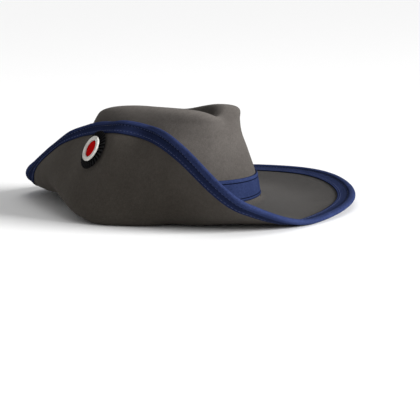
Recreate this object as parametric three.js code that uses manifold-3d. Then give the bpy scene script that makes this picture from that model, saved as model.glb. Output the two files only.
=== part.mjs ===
// Slouch hat in grey felt, one side of the brim turned up and held by a cockade.
// Millimetres, +Z up. The hat's front is -Y and the wearer's right is -X.
import * as THREE from "three";
import { mergeVertices } from "three/addons/utils/BufferGeometryUtils.js";
import Module from "manifold-3d";

// Driving sizes
const HEAD_HALF_WIDTH = 84;
const HEAD_HALF_LENGTH = 101;
const FELT = 2.6;
const GAP = 0.3;
const STATIONS = 60;
const FOLD_REACH = 4;

// Edge binding: a folded ribbon round the brim's edge, with a rounded bead
const BINDING_WIDTH = 17;
const BINDING_THICKNESS = 0.9;
const BEAD_BULGE = 0.5;

// Hat band: a ribbon round the foot of the crown
const BAND_THICKNESS = 1.9;

// Cockade: pleated black ring, raised white ring, domed red centre, post behind
const COCKADE_ANGLE = 170.2;
const COCKADE_FROM_EDGE = 36.5;
const SEAT_REACH = 14;
const SEAT_PRESSED = 0.8;
const SEAT_RADIUS = 24;
const SEAT_STANDOFF = 0.6;
const ROSETTE_RADIUS = 21.3;
const ROSETTE_BORE = 6.4;
const ROSETTE_THICKNESS = 2.8;
const ROSETTE_RIM = 1.9;
const ROSETTE_PLEATS = 30;
const RING_OUTER = 13.8;
const RING_INNER = 9.2;
const RING_HEIGHT = 2.6;
const BOSS_RADIUS = 8.8;
const BOSS_HEIGHT = 2.2;
const BOSS_STEM = 6;
const POST_RADIUS = 1.5;
const POST_DISC_RADIUS = 5;
const POST_DISC_STANDOFF = 1.2;
const POST_DISC_THICKNESS = 1.2;

// How the finished hat leans when it lies on a table by itself, and the shift
// that puts the middle of its outline over the origin and its foot on the table
const LEAN = 1.93;
const LEAN_TOWARD = -56;
const SHIFT_X = -34.15;
const SHIFT_Y = 3.5;
const LIFT = 13.0;

// Brim stations round the hat: 0 left, 90 back, 180 turned-up side, 270 front.
// width is measured along the felt. slopeIn and slopeOut are the profile's
// slopes before and after the bend that runs from bendFrom to bendTo, and curl
// is the last turn inward at the edge. Angles in degrees.
const BRIM = [
  { angle: 0, width: 104.5, slopeIn: -8, slopeOut: 14, bendFrom: 15, bendTo: 84, curl: 0 },
  { angle: 30, width: 100, slopeIn: -11, slopeOut: 0, bendFrom: 15, bendTo: 86, curl: 0 },
  { angle: 60, width: 94, slopeIn: -12, slopeOut: -2, bendFrom: 16, bendTo: 89, curl: 0 },
  { angle: 88, width: 91.5, slopeIn: -8, slopeOut: 40.5, bendFrom: 50, bendTo: 106.5, curl: -1 },
  { angle: 105, width: 78.5, slopeIn: -7.5, slopeOut: 106.5, bendFrom: 25, bendTo: 84.5, curl: 10 },
  { angle: 118, width: 83.5, slopeIn: -9.5, slopeOut: 116, bendFrom: 2.5, bendTo: 71.5, curl: 7.5 },
  { angle: 129, width: 93, slopeIn: -10.5, slopeOut: 118.5, bendFrom: -7, bendTo: 63.5, curl: 8 },
  { angle: 141, width: 107.5, slopeIn: -15.5, slopeOut: 120.5, bendFrom: -3, bendTo: 55.5, curl: 11.5 },
  { angle: 153, width: 122, slopeIn: -23.5, slopeOut: 118.5, bendFrom: 4.5, bendTo: 51.5, curl: 16 },
  { angle: 166, width: 139, slopeIn: -29.5, slopeOut: 113.5, bendFrom: 14, bendTo: 53.5, curl: 29 },
  { angle: 180, width: 147.5, slopeIn: -32.5, slopeOut: 104, bendFrom: 21, bendTo: 51.5, curl: 40 },
  { angle: 200, width: 136.5, slopeIn: -33.5, slopeOut: 96.5, bendFrom: 17.5, bendTo: 45.5, curl: 41 },
  { angle: 220, width: 118, slopeIn: -33, slopeOut: 74, bendFrom: 6, bendTo: 56, curl: 22 },
  { angle: 240, width: 103, slopeIn: -17, slopeOut: 31, bendFrom: 10, bendTo: 76, curl: 0 },
  { angle: 265, width: 97, slopeIn: -12, slopeOut: 8, bendFrom: 16, bendTo: 85, curl: 0 },
  { angle: 290, width: 102, slopeIn: -7, slopeOut: 10, bendFrom: 16, bendTo: 84, curl: 0 },
  { angle: 330, width: 106.5, slopeIn: -5, slopeOut: 15, bendFrom: 16, bendTo: 82, curl: 0 },
];
const CURL_FROM_EDGE = 50;
const CURL_LENGTH = 45;

// Crown rings from the floor of the top crease down to the head opening.
// zSide, zFront and zBack are the ring's heights, corner swells the ring at its
// front corners, leftDrop is how much lower its left side sits, and leftRise is
// how much of that its front left corner gains back.
const CROWN = [
  { halfWidth: 2.5, front: 46, back: 22.5,
    zSide: 82.5, zFront: 83.5, zBack: 85, corner: 0.1, leftDrop: 0.5, leftRise: -0.5 },
  { halfWidth: 11, front: 52, back: 32.5,
    zSide: 84, zFront: 84, zBack: 86.5, corner: 0.15, leftDrop: 2.5, leftRise: 1.5 },
  { halfWidth: 22, front: 58.5, back: 46.5,
    zSide: 92, zFront: 85, zBack: 88, corner: 0.15, leftDrop: 4.5, leftRise: 5.5 },
  { halfWidth: 32.5, front: 65.5, back: 60,
    zSide: 96, zFront: 86.5, zBack: 88, corner: 0.16, leftDrop: 9, leftRise: 6 },
  { halfWidth: 44, front: 73.5, back: 72,
    zSide: 92.5, zFront: 85, zBack: 84, corner: 0.21, leftDrop: 8, leftRise: 6 },
  { halfWidth: 56, front: 78.5, back: 79,
    zSide: 84, zFront: 79, zBack: 76, corner: 0.1, leftDrop: 5, leftRise: 2.5 },
  { halfWidth: 67, front: 83.5, back: 84.5,
    zSide: 69, zFront: 67, zBack: 63.5, corner: 0.05, leftDrop: 2, leftRise: 1 },
  { halfWidth: 76.5, front: 90, back: 92,
    zSide: 50, zFront: 49, zBack: 46.5, corner: 0, leftDrop: 0, leftRise: 0 },
  { halfWidth: 82.5, front: 99, back: 98.5,
    zSide: 27, zFront: 27, zBack: 27, corner: -0.01, leftDrop: 0, leftRise: 0 },
  { halfWidth: HEAD_HALF_WIDTH, front: HEAD_HALF_LENGTH, back: HEAD_HALF_LENGTH,
    zSide: 0, zFront: 0, zBack: 0, corner: 0.035, leftDrop: 0, leftRise: 0 },
];
const BACK_CORNER_SHARE = 0.4;
const BASE_RING = CROWN.length - 1;

// The two finger pinches at the front corners of the crown
const PINCH = { angle: 39, depth: 4, spread: 16, height: 68.5, reach: 12 };

// Rings of the felt: crown stations count table rows from the crease down,
// brim stations are shares of the width up to the binding
const CROWN_STATIONS = [0, 1, 2, 2.5, 3, 3.5, 4, 4.5, 5, 6, 7, 8, 8.3, 8.6, 8.88];
const FOLD_STATIONS = [0.33, 0.67];
const BRIM_STATIONS = [0.03, 0.08, 0.125, 0.17, 0.215, 0.27, 0.34, 0.43, 0.55, 0.7, 0.85];
const BINDING_STATIONS = [BINDING_WIDTH, BINDING_WIDTH / 2, 0];
const BAND_STATIONS = [8, 8.3, 8.6, 8.88];

const radians = THREE.MathUtils.degToRad;
const smooth = (x) => THREE.MathUtils.smoothstep(x, 0, 1);

// Periodic monotone cubic through one column of the brim table
function stationValue(column, angle) {
  const count = BRIM.length;
  const at = (k) => BRIM[((k % count) + count) % count][column];
  const degrees = (k) => BRIM[((k % count) + count) % count].angle + 360 * Math.floor(k / count);
  const secant = (k) => (at(k + 1) - at(k)) / (degrees(k + 1) - degrees(k));
  const slope = (k) => {
    const before = secant(k - 1);
    const after = secant(k);
    if (before * after <= 0) return 0;
    const stepBefore = degrees(k) - degrees(k - 1);
    const stepAfter = degrees(k + 1) - degrees(k);
    const weightBefore = 2 * stepAfter + stepBefore;
    const weightAfter = stepAfter + 2 * stepBefore;
    return (weightBefore + weightAfter) / (weightBefore / before + weightAfter / after);
  };
  const turned = ((angle % 360) + 360) % 360;
  let k = count - 1;
  while (k > 0 && BRIM[k].angle > turned) k -= 1;
  const step = degrees(k + 1) - degrees(k);
  const f = (turned - degrees(k)) / step;
  const rise = f * f * (3 - 2 * f);
  return at(k) * (1 - rise) + at(k + 1) * rise
    + step * (f * (1 - f) * (1 - f) * slope(k) - f * f * (1 - f) * slope(k + 1));
}

// Middle of the brim's felt as blocked, a given length out from the head opening
function blockedBrim(angle, length) {
  const c = Math.cos(radians(angle));
  const s = Math.sin(radians(angle));
  const outward = new THREE.Vector2(HEAD_HALF_LENGTH * c, HEAD_HALF_WIDTH * s).normalize();
  const width = stationValue("width", angle);
  const slopeIn = stationValue("slopeIn", angle);
  const slopeOut = stationValue("slopeOut", angle);
  const bendFrom = stationValue("bendFrom", angle);
  const bendTo = stationValue("bendTo", angle);
  const curl = stationValue("curl", angle);
  const steps = 80;
  const step = length / steps;
  let out = 0;
  let up = 0;
  for (let k = 0; k < steps; k += 1) {
    const at = (k + 0.5) * step;
    const bend = smooth((at - bendFrom) / (bendTo - bendFrom));
    const turn = smooth((at - width + CURL_FROM_EDGE) / CURL_LENGTH);
    const slope = radians(slopeIn + (slopeOut - slopeIn) * bend + curl * turn);
    out += Math.cos(slope) * step;
    up += Math.sin(slope) * step;
  }
  return new THREE.Vector3(HEAD_HALF_WIDTH * c + outward.x * out,
    HEAD_HALF_LENGTH * s + outward.y * out, up);
}

// Where the cockade's post pulls the felt flat: a plane through four points of the
// blocked brim round the post
const seat = (() => {
  const length = (angle) => stationValue("width", angle) - COCKADE_FROM_EDGE;
  const turn = THREE.MathUtils.radToDeg(SEAT_REACH / (HEAD_HALF_LENGTH + COCKADE_FROM_EDGE));
  const [inner, outer] = [-1, 1].map((side) => (
    blockedBrim(COCKADE_ANGLE, length(COCKADE_ANGLE) + side * SEAT_REACH)));
  const [before, after] = [-1, 1].map((side) => {
    const angle = COCKADE_ANGLE + side * turn;
    return blockedBrim(angle, length(angle));
  });
  const faceOut = outer.clone().sub(inner).cross(before.clone().sub(after)).normalize();
  const middle = inner.clone().add(outer).add(before).add(after).divideScalar(4);
  return { middle, faceOut };
})();

// Middle of the brim's felt, drawn toward the cockade's seat plane near the post
function brimPoint(angle, length) {
  const point = blockedBrim(angle, length);
  const away = point.clone().sub(seat.middle);
  const height = away.dot(seat.faceOut);
  const radius = away.addScaledVector(seat.faceOut, -height).length();
  const pressed = SEAT_PRESSED * Math.exp(-((radius / SEAT_RADIUS) ** 4));
  return point.addScaledVector(seat.faceOut, -height * pressed);
}

// Catmull-Rom through one column of the crown table
function ringValue(column, station) {
  const last = BASE_RING;
  const at = (k) => {
    if (k < 0) return 2 * CROWN[0][column] - CROWN[1][column];
    if (k > last) return 2 * CROWN[last][column] - CROWN[last - 1][column];
    return CROWN[k][column];
  };
  const k = Math.min(Math.floor(station), last - 1);
  const f = station - k;
  const [a, b, c, d] = [at(k - 1), at(k), at(k + 1), at(k + 2)];
  return 0.5 * (2 * b + (c - a) * f + (2 * a - 5 * b + 4 * c - d) * f * f
    + (3 * b - a - 3 * c + d) * f * f * f);
}

// Middle of the crown's felt
function crownPoint(angle, station) {
  const c = Math.cos(radians(angle));
  const s = Math.sin(radians(angle));
  const inFront = s < 0;
  const swell = ringValue("corner", station) * (inFront ? 1 : BACK_CORNER_SHARE);
  const bulge = 1 + swell * Math.sin(2 * radians(angle)) ** 2;
  const reach = ringValue(inFront ? "front" : "back", station);
  const zSide = ringValue("zSide", station);
  const point = new THREE.Vector3(ringValue("halfWidth", station) * c * bulge, reach * s * bulge,
    zSide
    + (ringValue("zFront", station) - zSide) * Math.max(0, -s) ** 6
    + (ringValue("zBack", station) - zSide) * Math.max(0, s) ** 2
    - ringValue("leftDrop", station) * Math.max(0, c) ** 2
    + ringValue("leftRise", station) * (c > 0 && inFront ? Math.sin(2 * radians(angle)) ** 2 : 0));
  const outside = THREE.MathUtils.clamp((station - 3) / 1.5, 0, 1);
  for (const side of [-1, 1]) {
    const away = THREE.MathUtils.euclideanModulo(angle - 270 - side * PINCH.angle + 180, 360) - 180;
    const depth = PINCH.depth * outside * Math.exp(-((away / PINCH.spread) ** 2))
      * Math.exp(-(((point.z - PINCH.height) / PINCH.reach) ** 2));
    const radius = Math.hypot(point.x, point.y);
    point.x -= (depth * point.x) / radius;
    point.y -= (depth * point.y) / radius;
  }
  return point;
}

// Rounded corner between crown and brim
function foldPoint(angle, share) {
  const fromCrown = crownPoint(angle, CROWN_STATIONS[CROWN_STATIONS.length - 1]);
  const corner = crownPoint(angle, BASE_RING);
  const toBrim = brimPoint(angle, FOLD_REACH);
  return new THREE.QuadraticBezierCurve3(fromCrown, corner, toBrim).getPoint(share);
}

// A point and its direction outward from the felt, for one ring of the hat
function surfaceAt(pointOn, angle, station, step) {
  const around = pointOn(angle + 0.25, station).sub(pointOn(angle - 0.25, station));
  const along = pointOn(angle, station + step).sub(pointOn(angle, station - step));
  return { point: pointOn(angle, station), out: along.cross(around).normalize() };
}

const onCrown = (station) => (angle) => surfaceAt(crownPoint, angle, station, 0.02);
const onFold = (share) => (angle) => surfaceAt(foldPoint, angle, share, 0.02);
const fromEdge = (distance) => (angle) => (
  surfaceAt(brimPoint, angle, stationValue("width", angle) - distance, 0.5));
const onBrim = (share) => (angle) => {
  const length = FOLD_REACH + share * (stationValue("width", angle) - BINDING_WIDTH - FOLD_REACH);
  return surfaceAt(brimPoint, angle, length, 0.5);
};

// A point off the felt's middle, which remembers the point of the middle it stands on
function shifted(site, distance) {
  const point = site.point.clone().addScaledVector(site.out, distance);
  point.middle = site.point;
  return point;
}

// One closed ring of points round the hat
function ring(siteAt, distance) {
  const points = [];
  for (let k = 0; k < STATIONS; k += 1) {
    points.push(shifted(siteAt((360 * k) / STATIONS), distance));
  }
  return points;
}

// The hat's lean on the table, with what would go below it pressed flat
const leanAxis = new THREE.Vector3(-Math.sin(radians(LEAN_TOWARD)), Math.cos(radians(LEAN_TOWARD)), 0);
const restPose = new THREE.Matrix4().makeRotationAxis(leanAxis, radians(LEAN))
  .setPosition(SHIFT_X, SHIFT_Y, LIFT);
const atRest = (point) => {
  const moved = point.clone().applyMatrix4(restPose);
  moved.z = Math.max(moved.z, 0);
  return moved;
};

// Geometry from corner points and triangles
function solid(points, triangles) {
  const geometry = new THREE.BufferGeometry();
  const flat = points.flatMap((point) => [point.x, point.y, point.z]);
  geometry.setAttribute("position", new THREE.Float32BufferAttribute(flat, 3));
  geometry.setIndex(triangles.flat());
  geometry.computeVertexNormals();
  return geometry;
}

// Two triangles between each pair of neighbours of two rings of equal length, cut
// along the shorter diagonal of the felt's middle, or the rings' own where that
// is a tie, so that layers that lie together cut alike
function strip(points, first, second, count, triangles) {
  const middle = (k) => points[k].middle ?? points[k];
  for (let k = 0; k < count; k += 1) {
    const next = (k + 1) % count;
    const [a, b, c, d] = [first + k, second + k, first + next, second + next];
    const own = points[b].distanceTo(points[c]) - points[a].distanceTo(points[d]);
    const shared = middle(b).distanceTo(middle(c)) - middle(a).distanceTo(middle(d));
    if ((Math.abs(shared) > 0.001 ? shared : own) < 0) {
      triangles.push([a, b, c], [c, b, d]);
    } else {
      triangles.push([a, b, d], [a, d, c]);
    }
  }
}

// Tube of rings that closes on itself, as a ribbon's section does round the hat
function closedLoop(rings) {
  const count = rings[0].length;
  const points = rings.flat();
  const triangles = [];
  rings.forEach((_, k) => {
    strip(points, k * count, ((k + 1) % rings.length) * count, count, triangles);
  });
  return solid(points.map(atRest), triangles);
}

// Fills a long thin ring across its width, from its front end to its back end
function zip(start, facingUp, triangles) {
  const half = STATIONS / 2;
  const across = (k) => start + ((half - k + STATIONS) % STATIONS);
  const here = (k) => start + ((k + STATIONS) % STATIONS);
  const add = (a, b, c) => {
    if (a !== b && b !== c && a !== c) triangles.push(facingUp ? [a, b, c] : [a, c, b]);
  };
  for (let k = -STATIONS / 4; k < STATIONS / 4; k += 1) {
    add(here(k), here(k + 1), across(k));
    add(across(k), here(k + 1), across(k + 1));
  }
}

function boolean(kernel, geometry) {
  const bare = geometry.clone();
  bare.deleteAttribute("normal");
  bare.deleteAttribute("uv");
  const merged = mergeVertices(bare, 1e-5);
  return new kernel.Manifold(new kernel.Mesh({
    numProp: 3,
    vertProperties: new Float32Array(merged.attributes.position.array),
    triVerts: new Uint32Array(merged.index.array),
  }));
}

function fromKernel(shape) {
  const mesh = shape.getMesh();
  const geometry = new THREE.BufferGeometry();
  geometry.setAttribute("position", new THREE.BufferAttribute(new Float32Array(mesh.vertProperties), 3));
  geometry.setIndex(new THREE.BufferAttribute(new Uint32Array(mesh.triVerts), 1));
  geometry.computeVertexNormals();
  return geometry;
}

// Felt body: crown and brim are one piece of felt
function feltBody(kernel) {
  const sites = [
    ...CROWN_STATIONS.map(onCrown),
    ...FOLD_STATIONS.map(onFold),
    ...BRIM_STATIONS.map(onBrim),
    ...BINDING_STATIONS.map(fromEdge),
  ];
  const outside = sites.map((site) => ring(site, FELT / 2));
  const inside = sites.map((site) => ring(site, -FELT / 2)).reverse();
  const rings = [...outside, ...inside];
  const points = rings.flat();
  const triangles = [];
  for (let k = 0; k + 1 < rings.length; k += 1) {
    strip(points, k * STATIONS, (k + 1) * STATIONS, STATIONS, triangles);
  }
  zip(0, true, triangles);
  zip((rings.length - 1) * STATIONS, false, triangles);
  const body = boolean(kernel, solid(points.map(atRest), triangles));
  const hole = new THREE.CylinderGeometry(POST_RADIUS + GAP, POST_RADIUS + GAP, 6 * FELT, 16);
  hole.rotateX(Math.PI / 2).applyMatrix4(cockadeSeat());
  return fromKernel(body.subtract(boolean(kernel, hole)));
}

// Edge binding: the ribbon's section runs over the brim, round the bead and back
function edgeBinding() {
  const inner = FELT / 2 + GAP;
  const outer = inner + BINDING_THICKNESS;
  const bead = outer + BEAD_BULGE;
  const section = [
    { inward: BINDING_WIDTH, height: inner },
    { inward: BINDING_WIDTH, height: outer },
    { inward: BINDING_WIDTH / 2, height: outer },
    { inward: 3, height: bead },
    { inward: -1.2, height: 0.75 * bead },
    { inward: -2.1, height: 0 },
    { inward: -1.2, height: -0.75 * bead },
    { inward: 3, height: -bead },
    { inward: BINDING_WIDTH / 2, height: -outer },
    { inward: BINDING_WIDTH, height: -outer },
    { inward: BINDING_WIDTH, height: -inner },
    { inward: BINDING_WIDTH / 2, height: -inner },
    { inward: -GAP, height: -inner },
    { inward: -GAP, height: inner },
    { inward: BINDING_WIDTH / 2, height: inner },
  ];
  const rings = section.map(({ inward, height }) => {
    const points = [];
    for (let k = 0; k < STATIONS; k += 1) {
      const angle = (360 * k) / STATIONS;
      const site = fromEdge(Math.max(inward, 0))(angle);
      const point = shifted(site, height);
      if (inward < 0) {
        const along = site.point.clone().sub(fromEdge(1)(angle).point).normalize();
        point.addScaledVector(along, -inward);
      }
      points.push(point);
    }
    return points;
  });
  return closedLoop(rings);
}

// Hat band: a flat ribbon that follows the foot of the crown
function hatBand() {
  const inner = FELT / 2 + GAP;
  const outer = inner + BAND_THICKNESS;
  const outward = BAND_STATIONS.map((station) => ring(onCrown(station), outer));
  const inward = BAND_STATIONS.map((station) => ring(onCrown(station), inner)).reverse();
  return closedLoop([...outward, ...inward]);
}

// The cockade's own frame: its Z points away from the brim's outer face
function cockadeSeat() {
  const { middle, faceOut } = seat;
  const level = new THREE.Vector3(0, 0, 1).cross(faceOut).normalize();
  const frame = new THREE.Matrix4().makeBasis(level, faceOut.clone().cross(level), faceOut);
  frame.setPosition(middle.clone().addScaledVector(faceOut, FELT / 2 + SEAT_STANDOFF));
  return frame.premultiply(restPose);
}

// Lathe round the cockade's axis, from [radius, height] corners that close
function turned(profile, segments) {
  const points = profile.map(([radius, height]) => new THREE.Vector2(radius, height));
  const geometry = new THREE.LatheGeometry([...points, points[0]], segments);
  geometry.rotateX(Math.PI / 2).applyMatrix4(cockadeSeat());
  return geometry;
}

// Pleated ring: knife pleats round the edge that die out toward the centre
function cockadeRosette() {
  const segments = 2 * ROSETTE_PLEATS;
  const circles = [
    { radius: ROSETTE_BORE, height: GAP, pleat: 0 },
    { radius: RING_OUTER, height: GAP, pleat: 0 },
    { radius: ROSETTE_RADIUS - 0.6, height: ROSETTE_RIM - 0.6, pleat: 0 },
    { radius: ROSETTE_RADIUS, height: ROSETTE_RIM, pleat: 0.3 },
    { radius: RING_OUTER, height: ROSETTE_THICKNESS, pleat: 0.2 },
    { radius: ROSETTE_BORE, height: ROSETTE_THICKNESS, pleat: 0 },
  ];
  const rings = circles.map(({ radius, height, pleat }) => {
    const points = [];
    for (let k = 0; k < segments; k += 1) {
      const angle = (2 * Math.PI * k) / segments;
      const raised = height + (k % 2 === 0 ? pleat : -pleat);
      points.push(new THREE.Vector3(radius * Math.cos(angle), radius * Math.sin(angle), raised));
    }
    return points;
  });
  const points = rings.flat();
  const triangles = [];
  rings.forEach((_, k) => {
    strip(points, k * segments, ((k + 1) % rings.length) * segments, segments, triangles);
  });
  return solid(points, triangles.map(([a, b, c]) => [a, c, b])).applyMatrix4(cockadeSeat());
}

function cockadeRing() {
  const floor = ROSETTE_THICKNESS + 0.2 + GAP;
  return turned([
    [RING_INNER, floor],
    [RING_OUTER - 0.4, floor],
    [RING_OUTER, floor + 0.35 * RING_HEIGHT],
    [RING_OUTER - 1.4, floor + 0.85 * RING_HEIGHT],
    [(RING_INNER + RING_OUTER) / 2, floor + RING_HEIGHT],
    [RING_INNER + 1, floor + 0.9 * RING_HEIGHT],
    [RING_INNER, floor + 0.5 * RING_HEIGHT],
  ], 32);
}

function cockadeBoss() {
  const floor = ROSETTE_THICKNESS + 0.2 + GAP;
  const rim = BOSS_RADIUS;
  return turned([
    [0, 2 * GAP],
    [BOSS_STEM, 2 * GAP],
    [BOSS_STEM, floor],
    [rim, floor],
    [rim, floor + 0.45 * BOSS_HEIGHT],
    [0.8 * rim, floor + 0.8 * BOSS_HEIGHT],
    [0.45 * rim, floor + 0.98 * BOSS_HEIGHT],
    [0, floor + BOSS_HEIGHT],
  ], 32);
}

// Post: a shank through the felt with a round plate on the crown's side
function cockadePost() {
  const back = -SEAT_STANDOFF - FELT - POST_DISC_STANDOFF;
  return turned([
    [0, GAP],
    [POST_RADIUS, GAP],
    [POST_RADIUS, back],
    [POST_DISC_RADIUS, back],
    [POST_DISC_RADIUS, back - POST_DISC_THICKNESS],
    [0, back - POST_DISC_THICKNESS],
  ].reverse(), 20);
}

function piece(name, geometry, color, roughness, metalness) {
  const material = new THREE.MeshStandardMaterial({ color, roughness, metalness });
  const mesh = new THREE.Mesh(geometry, material);
  mesh.name = name;
  return mesh;
}

const kernel = await Module();
kernel.setup();

const hat = new THREE.Group();
hat.name = "slouch_hat";
hat.add(piece("felt_body", feltBody(kernel), 0x615b56, 0.95, 0));
hat.add(piece("edge_binding", edgeBinding(), 0x26304f, 0.8, 0));
hat.add(piece("hat_band", hatBand(), 0x354165, 0.8, 0));
hat.add(piece("cockade_rosette", cockadeRosette(), 0x0b0b0c, 0.7, 0));
hat.add(piece("cockade_ring", cockadeRing(), 0xd8d5cc, 0.5, 0));
hat.add(piece("cockade_boss", cockadeBoss(), 0x850707, 0.6, 0));
hat.add(piece("cockade_post", cockadePost(), 0x8a8a86, 0.4, 1));

export default hat;
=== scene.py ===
import bpy
import numpy as np
from mathutils import Matrix, Vector


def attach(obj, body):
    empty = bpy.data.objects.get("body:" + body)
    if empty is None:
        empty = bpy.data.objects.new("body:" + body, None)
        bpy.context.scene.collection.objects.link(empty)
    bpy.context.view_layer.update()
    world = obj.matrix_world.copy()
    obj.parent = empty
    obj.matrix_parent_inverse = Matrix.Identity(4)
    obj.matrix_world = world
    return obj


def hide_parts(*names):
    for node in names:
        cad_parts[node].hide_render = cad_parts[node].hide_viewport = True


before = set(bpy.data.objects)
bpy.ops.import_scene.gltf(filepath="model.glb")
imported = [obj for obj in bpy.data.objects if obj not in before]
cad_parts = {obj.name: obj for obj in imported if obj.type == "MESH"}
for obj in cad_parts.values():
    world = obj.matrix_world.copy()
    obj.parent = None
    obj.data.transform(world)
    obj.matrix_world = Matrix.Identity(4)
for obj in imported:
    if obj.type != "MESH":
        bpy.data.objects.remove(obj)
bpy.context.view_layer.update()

# Camera: the picture shows the hat from its front right, a little above the
# table. The hat's own origin is the middle of its head opening.
HAT_ORIGIN = Vector((-0.03415, 0.00350, 0.0130))
VIEW_AZIMUTH = np.radians(-53.9)
VIEW_ELEVATION = np.radians(9.8)
VIEW_ROLL = np.radians(-1.96)
VIEW_DISTANCE = 1.6
METRES_PER_PIXEL = 0.0010686
PICTURE_PIXELS = 420
ORIGIN_PIXEL = (166.0, 193.9)
SENSOR_WIDTH = 36

toward_camera = Vector((
    np.sin(VIEW_AZIMUTH) * np.cos(VIEW_ELEVATION),
    -np.cos(VIEW_AZIMUTH) * np.cos(VIEW_ELEVATION),
    np.sin(VIEW_ELEVATION),
))
level_right = Vector((np.cos(VIEW_AZIMUTH), np.sin(VIEW_AZIMUTH), 0))
level_up = toward_camera.cross(level_right)
picture_right = level_right * np.cos(VIEW_ROLL) + level_up * np.sin(VIEW_ROLL)
picture_up = level_up * np.cos(VIEW_ROLL) - level_right * np.sin(VIEW_ROLL)
middle = (
    HAT_ORIGIN
    + picture_right * (PICTURE_PIXELS / 2 - ORIGIN_PIXEL[0]) * METRES_PER_PIXEL
    + picture_up * (ORIGIN_PIXEL[1] - PICTURE_PIXELS / 2) * METRES_PER_PIXEL
)
eye = HAT_ORIGIN + toward_camera * VIEW_DISTANCE
backward = (eye - middle).normalized()
upward = (picture_up - backward * picture_up.dot(backward)).normalized()
rightward = upward.cross(backward)

camera_data = bpy.data.cameras.new("camera")
camera_data.sensor_width = SENSOR_WIDTH
camera_data.lens = SENSOR_WIDTH * VIEW_DISTANCE / (METRES_PER_PIXEL * PICTURE_PIXELS)
camera_data.clip_start = 0.05
camera_data.clip_end = 20
camera = bpy.data.objects.new("camera", camera_data)
facing = Matrix((rightward, upward, backward)).transposed().to_4x4()
camera.matrix_world = Matrix.Translation(eye) @ facing
bpy.context.scene.collection.objects.link(camera)
bpy.context.scene.camera = camera


# Table and light: a pale matt floor, one large soft key light far off to the
# right of the camera, a broad lamp overhead, and a dim even surround.
def nodes_of(name):
    """A new material, its node tree and its principled shader."""
    material = bpy.data.materials.new(name)
    material.use_nodes = True
    tree = material.node_tree
    return material, tree, tree.nodes["Principled BSDF"]


FLOOR_HALF = 30.0
HAT_MIDDLE = Vector((0, 0, 0.05))
floor_mesh = bpy.data.meshes.new("floor")
floor_mesh.from_pydata(
    [(-FLOOR_HALF, -FLOOR_HALF, 0), (FLOOR_HALF, -FLOOR_HALF, 0),
     (FLOOR_HALF, FLOOR_HALF, 0), (-FLOOR_HALF, FLOOR_HALF, 0)],
    [], [(0, 1, 2, 3)])
floor = bpy.data.objects.new("floor", floor_mesh)
bpy.context.scene.collection.objects.link(floor)
floor_paper, _, floor_shader = nodes_of("floor_paper")
floor_shader.inputs["Base Color"].default_value = (0.95, 0.95, 0.95, 1)
floor_shader.inputs["Roughness"].default_value = 0.9
floor_mesh.materials.append(floor_paper)

world = bpy.data.worlds.new("surround")
world.use_nodes = True
world.node_tree.nodes["Background"].inputs["Color"].default_value = (1, 1, 1, 1)
world.node_tree.nodes["Background"].inputs["Strength"].default_value = 0.34
bpy.context.scene.world = world
bpy.context.scene.view_settings.view_transform = "Standard"


def aimed_light(name, kind, place, power):
    """A light at a place in metres, turned toward the middle of the hat."""
    light_data = bpy.data.lights.new(name, kind)
    light_data.energy = power
    light = bpy.data.objects.new(name, light_data)
    light.location = place
    aim = Vector(place) - HAT_MIDDLE
    light.rotation_euler = aim.to_track_quat("Z", "Y").to_euler()
    bpy.context.scene.collection.objects.link(light)
    return light_data


aimed_light("key_light", "SUN", (0.7, -3.5, 1.35), 6.0).angle = np.radians(24)
aimed_light("top_lamp", "AREA", (0.1, -0.2, 2.2), 9).size = 1.4


# Felt body: crown and brim are one piece of warm grey wool felt, blocked wet
# over a head form and pressed, 2.6 mm thick, with the right side turned up.
HEAD_HALF_WIDTH = 0.084
HEAD_HALF_LENGTH = 0.101
FELT = 0.0026
LEAN = np.radians(1.93)
LEAN_TOWARD = np.radians(-56)
PRESS_SOFTNESS = 0.0005
FOLD_REACH = 0.004

# Brim stations in degrees round the hat: 0 left, 90 back, 180 turned-up side.
# Widths and bends in mm along the felt, slopes and curl in degrees
BRIM = {
    "angle": [0, 30, 60, 88, 105, 118, 129, 141, 153, 166, 180, 200, 220, 240, 265, 290, 330],
    "width": [104.5, 100, 94, 91.5, 78.5, 83.5, 93, 107.5, 122, 139, 147.5, 136.5, 118, 103, 97, 102,
              106.5],
    "slope_in": [-8, -11, -12, -8, -7.5, -9.5, -10.5, -15.5, -23.5, -29.5, -32.5, -33.5, -33, -17, -12,
                 -7, -5],
    "slope_out": [14, 0, -2, 40.5, 106.5, 116, 118.5, 120.5, 118.5, 113.5, 104, 96.5, 74, 31, 8, 10, 15],
    "bend_from": [15, 15, 16, 50, 25, 2.5, -7, -3, 4.5, 14, 21, 17.5, 6, 10, 16, 16, 16],
    "bend_to": [84, 86, 89, 106.5, 84.5, 71.5, 63.5, 55.5, 51.5, 53.5, 51.5, 45.5, 56, 76, 85, 84, 82],
    "curl": [0, 0, 0, -1, 10, 7.5, 8, 11.5, 16, 29, 40, 41, 22, 0, 0, 0, 0],
}
CURL_FROM_EDGE = 0.050
CURL_LENGTH = 0.045
PROFILE_STEPS = 400

# The cockade's post pulls the brim's felt flat round itself
COCKADE_ANGLE = 170.2
COCKADE_FROM_EDGE = 0.0365
SEAT_REACH = 0.014
SEAT_PRESSED = 0.8
SEAT_RADIUS = 0.024

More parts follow.
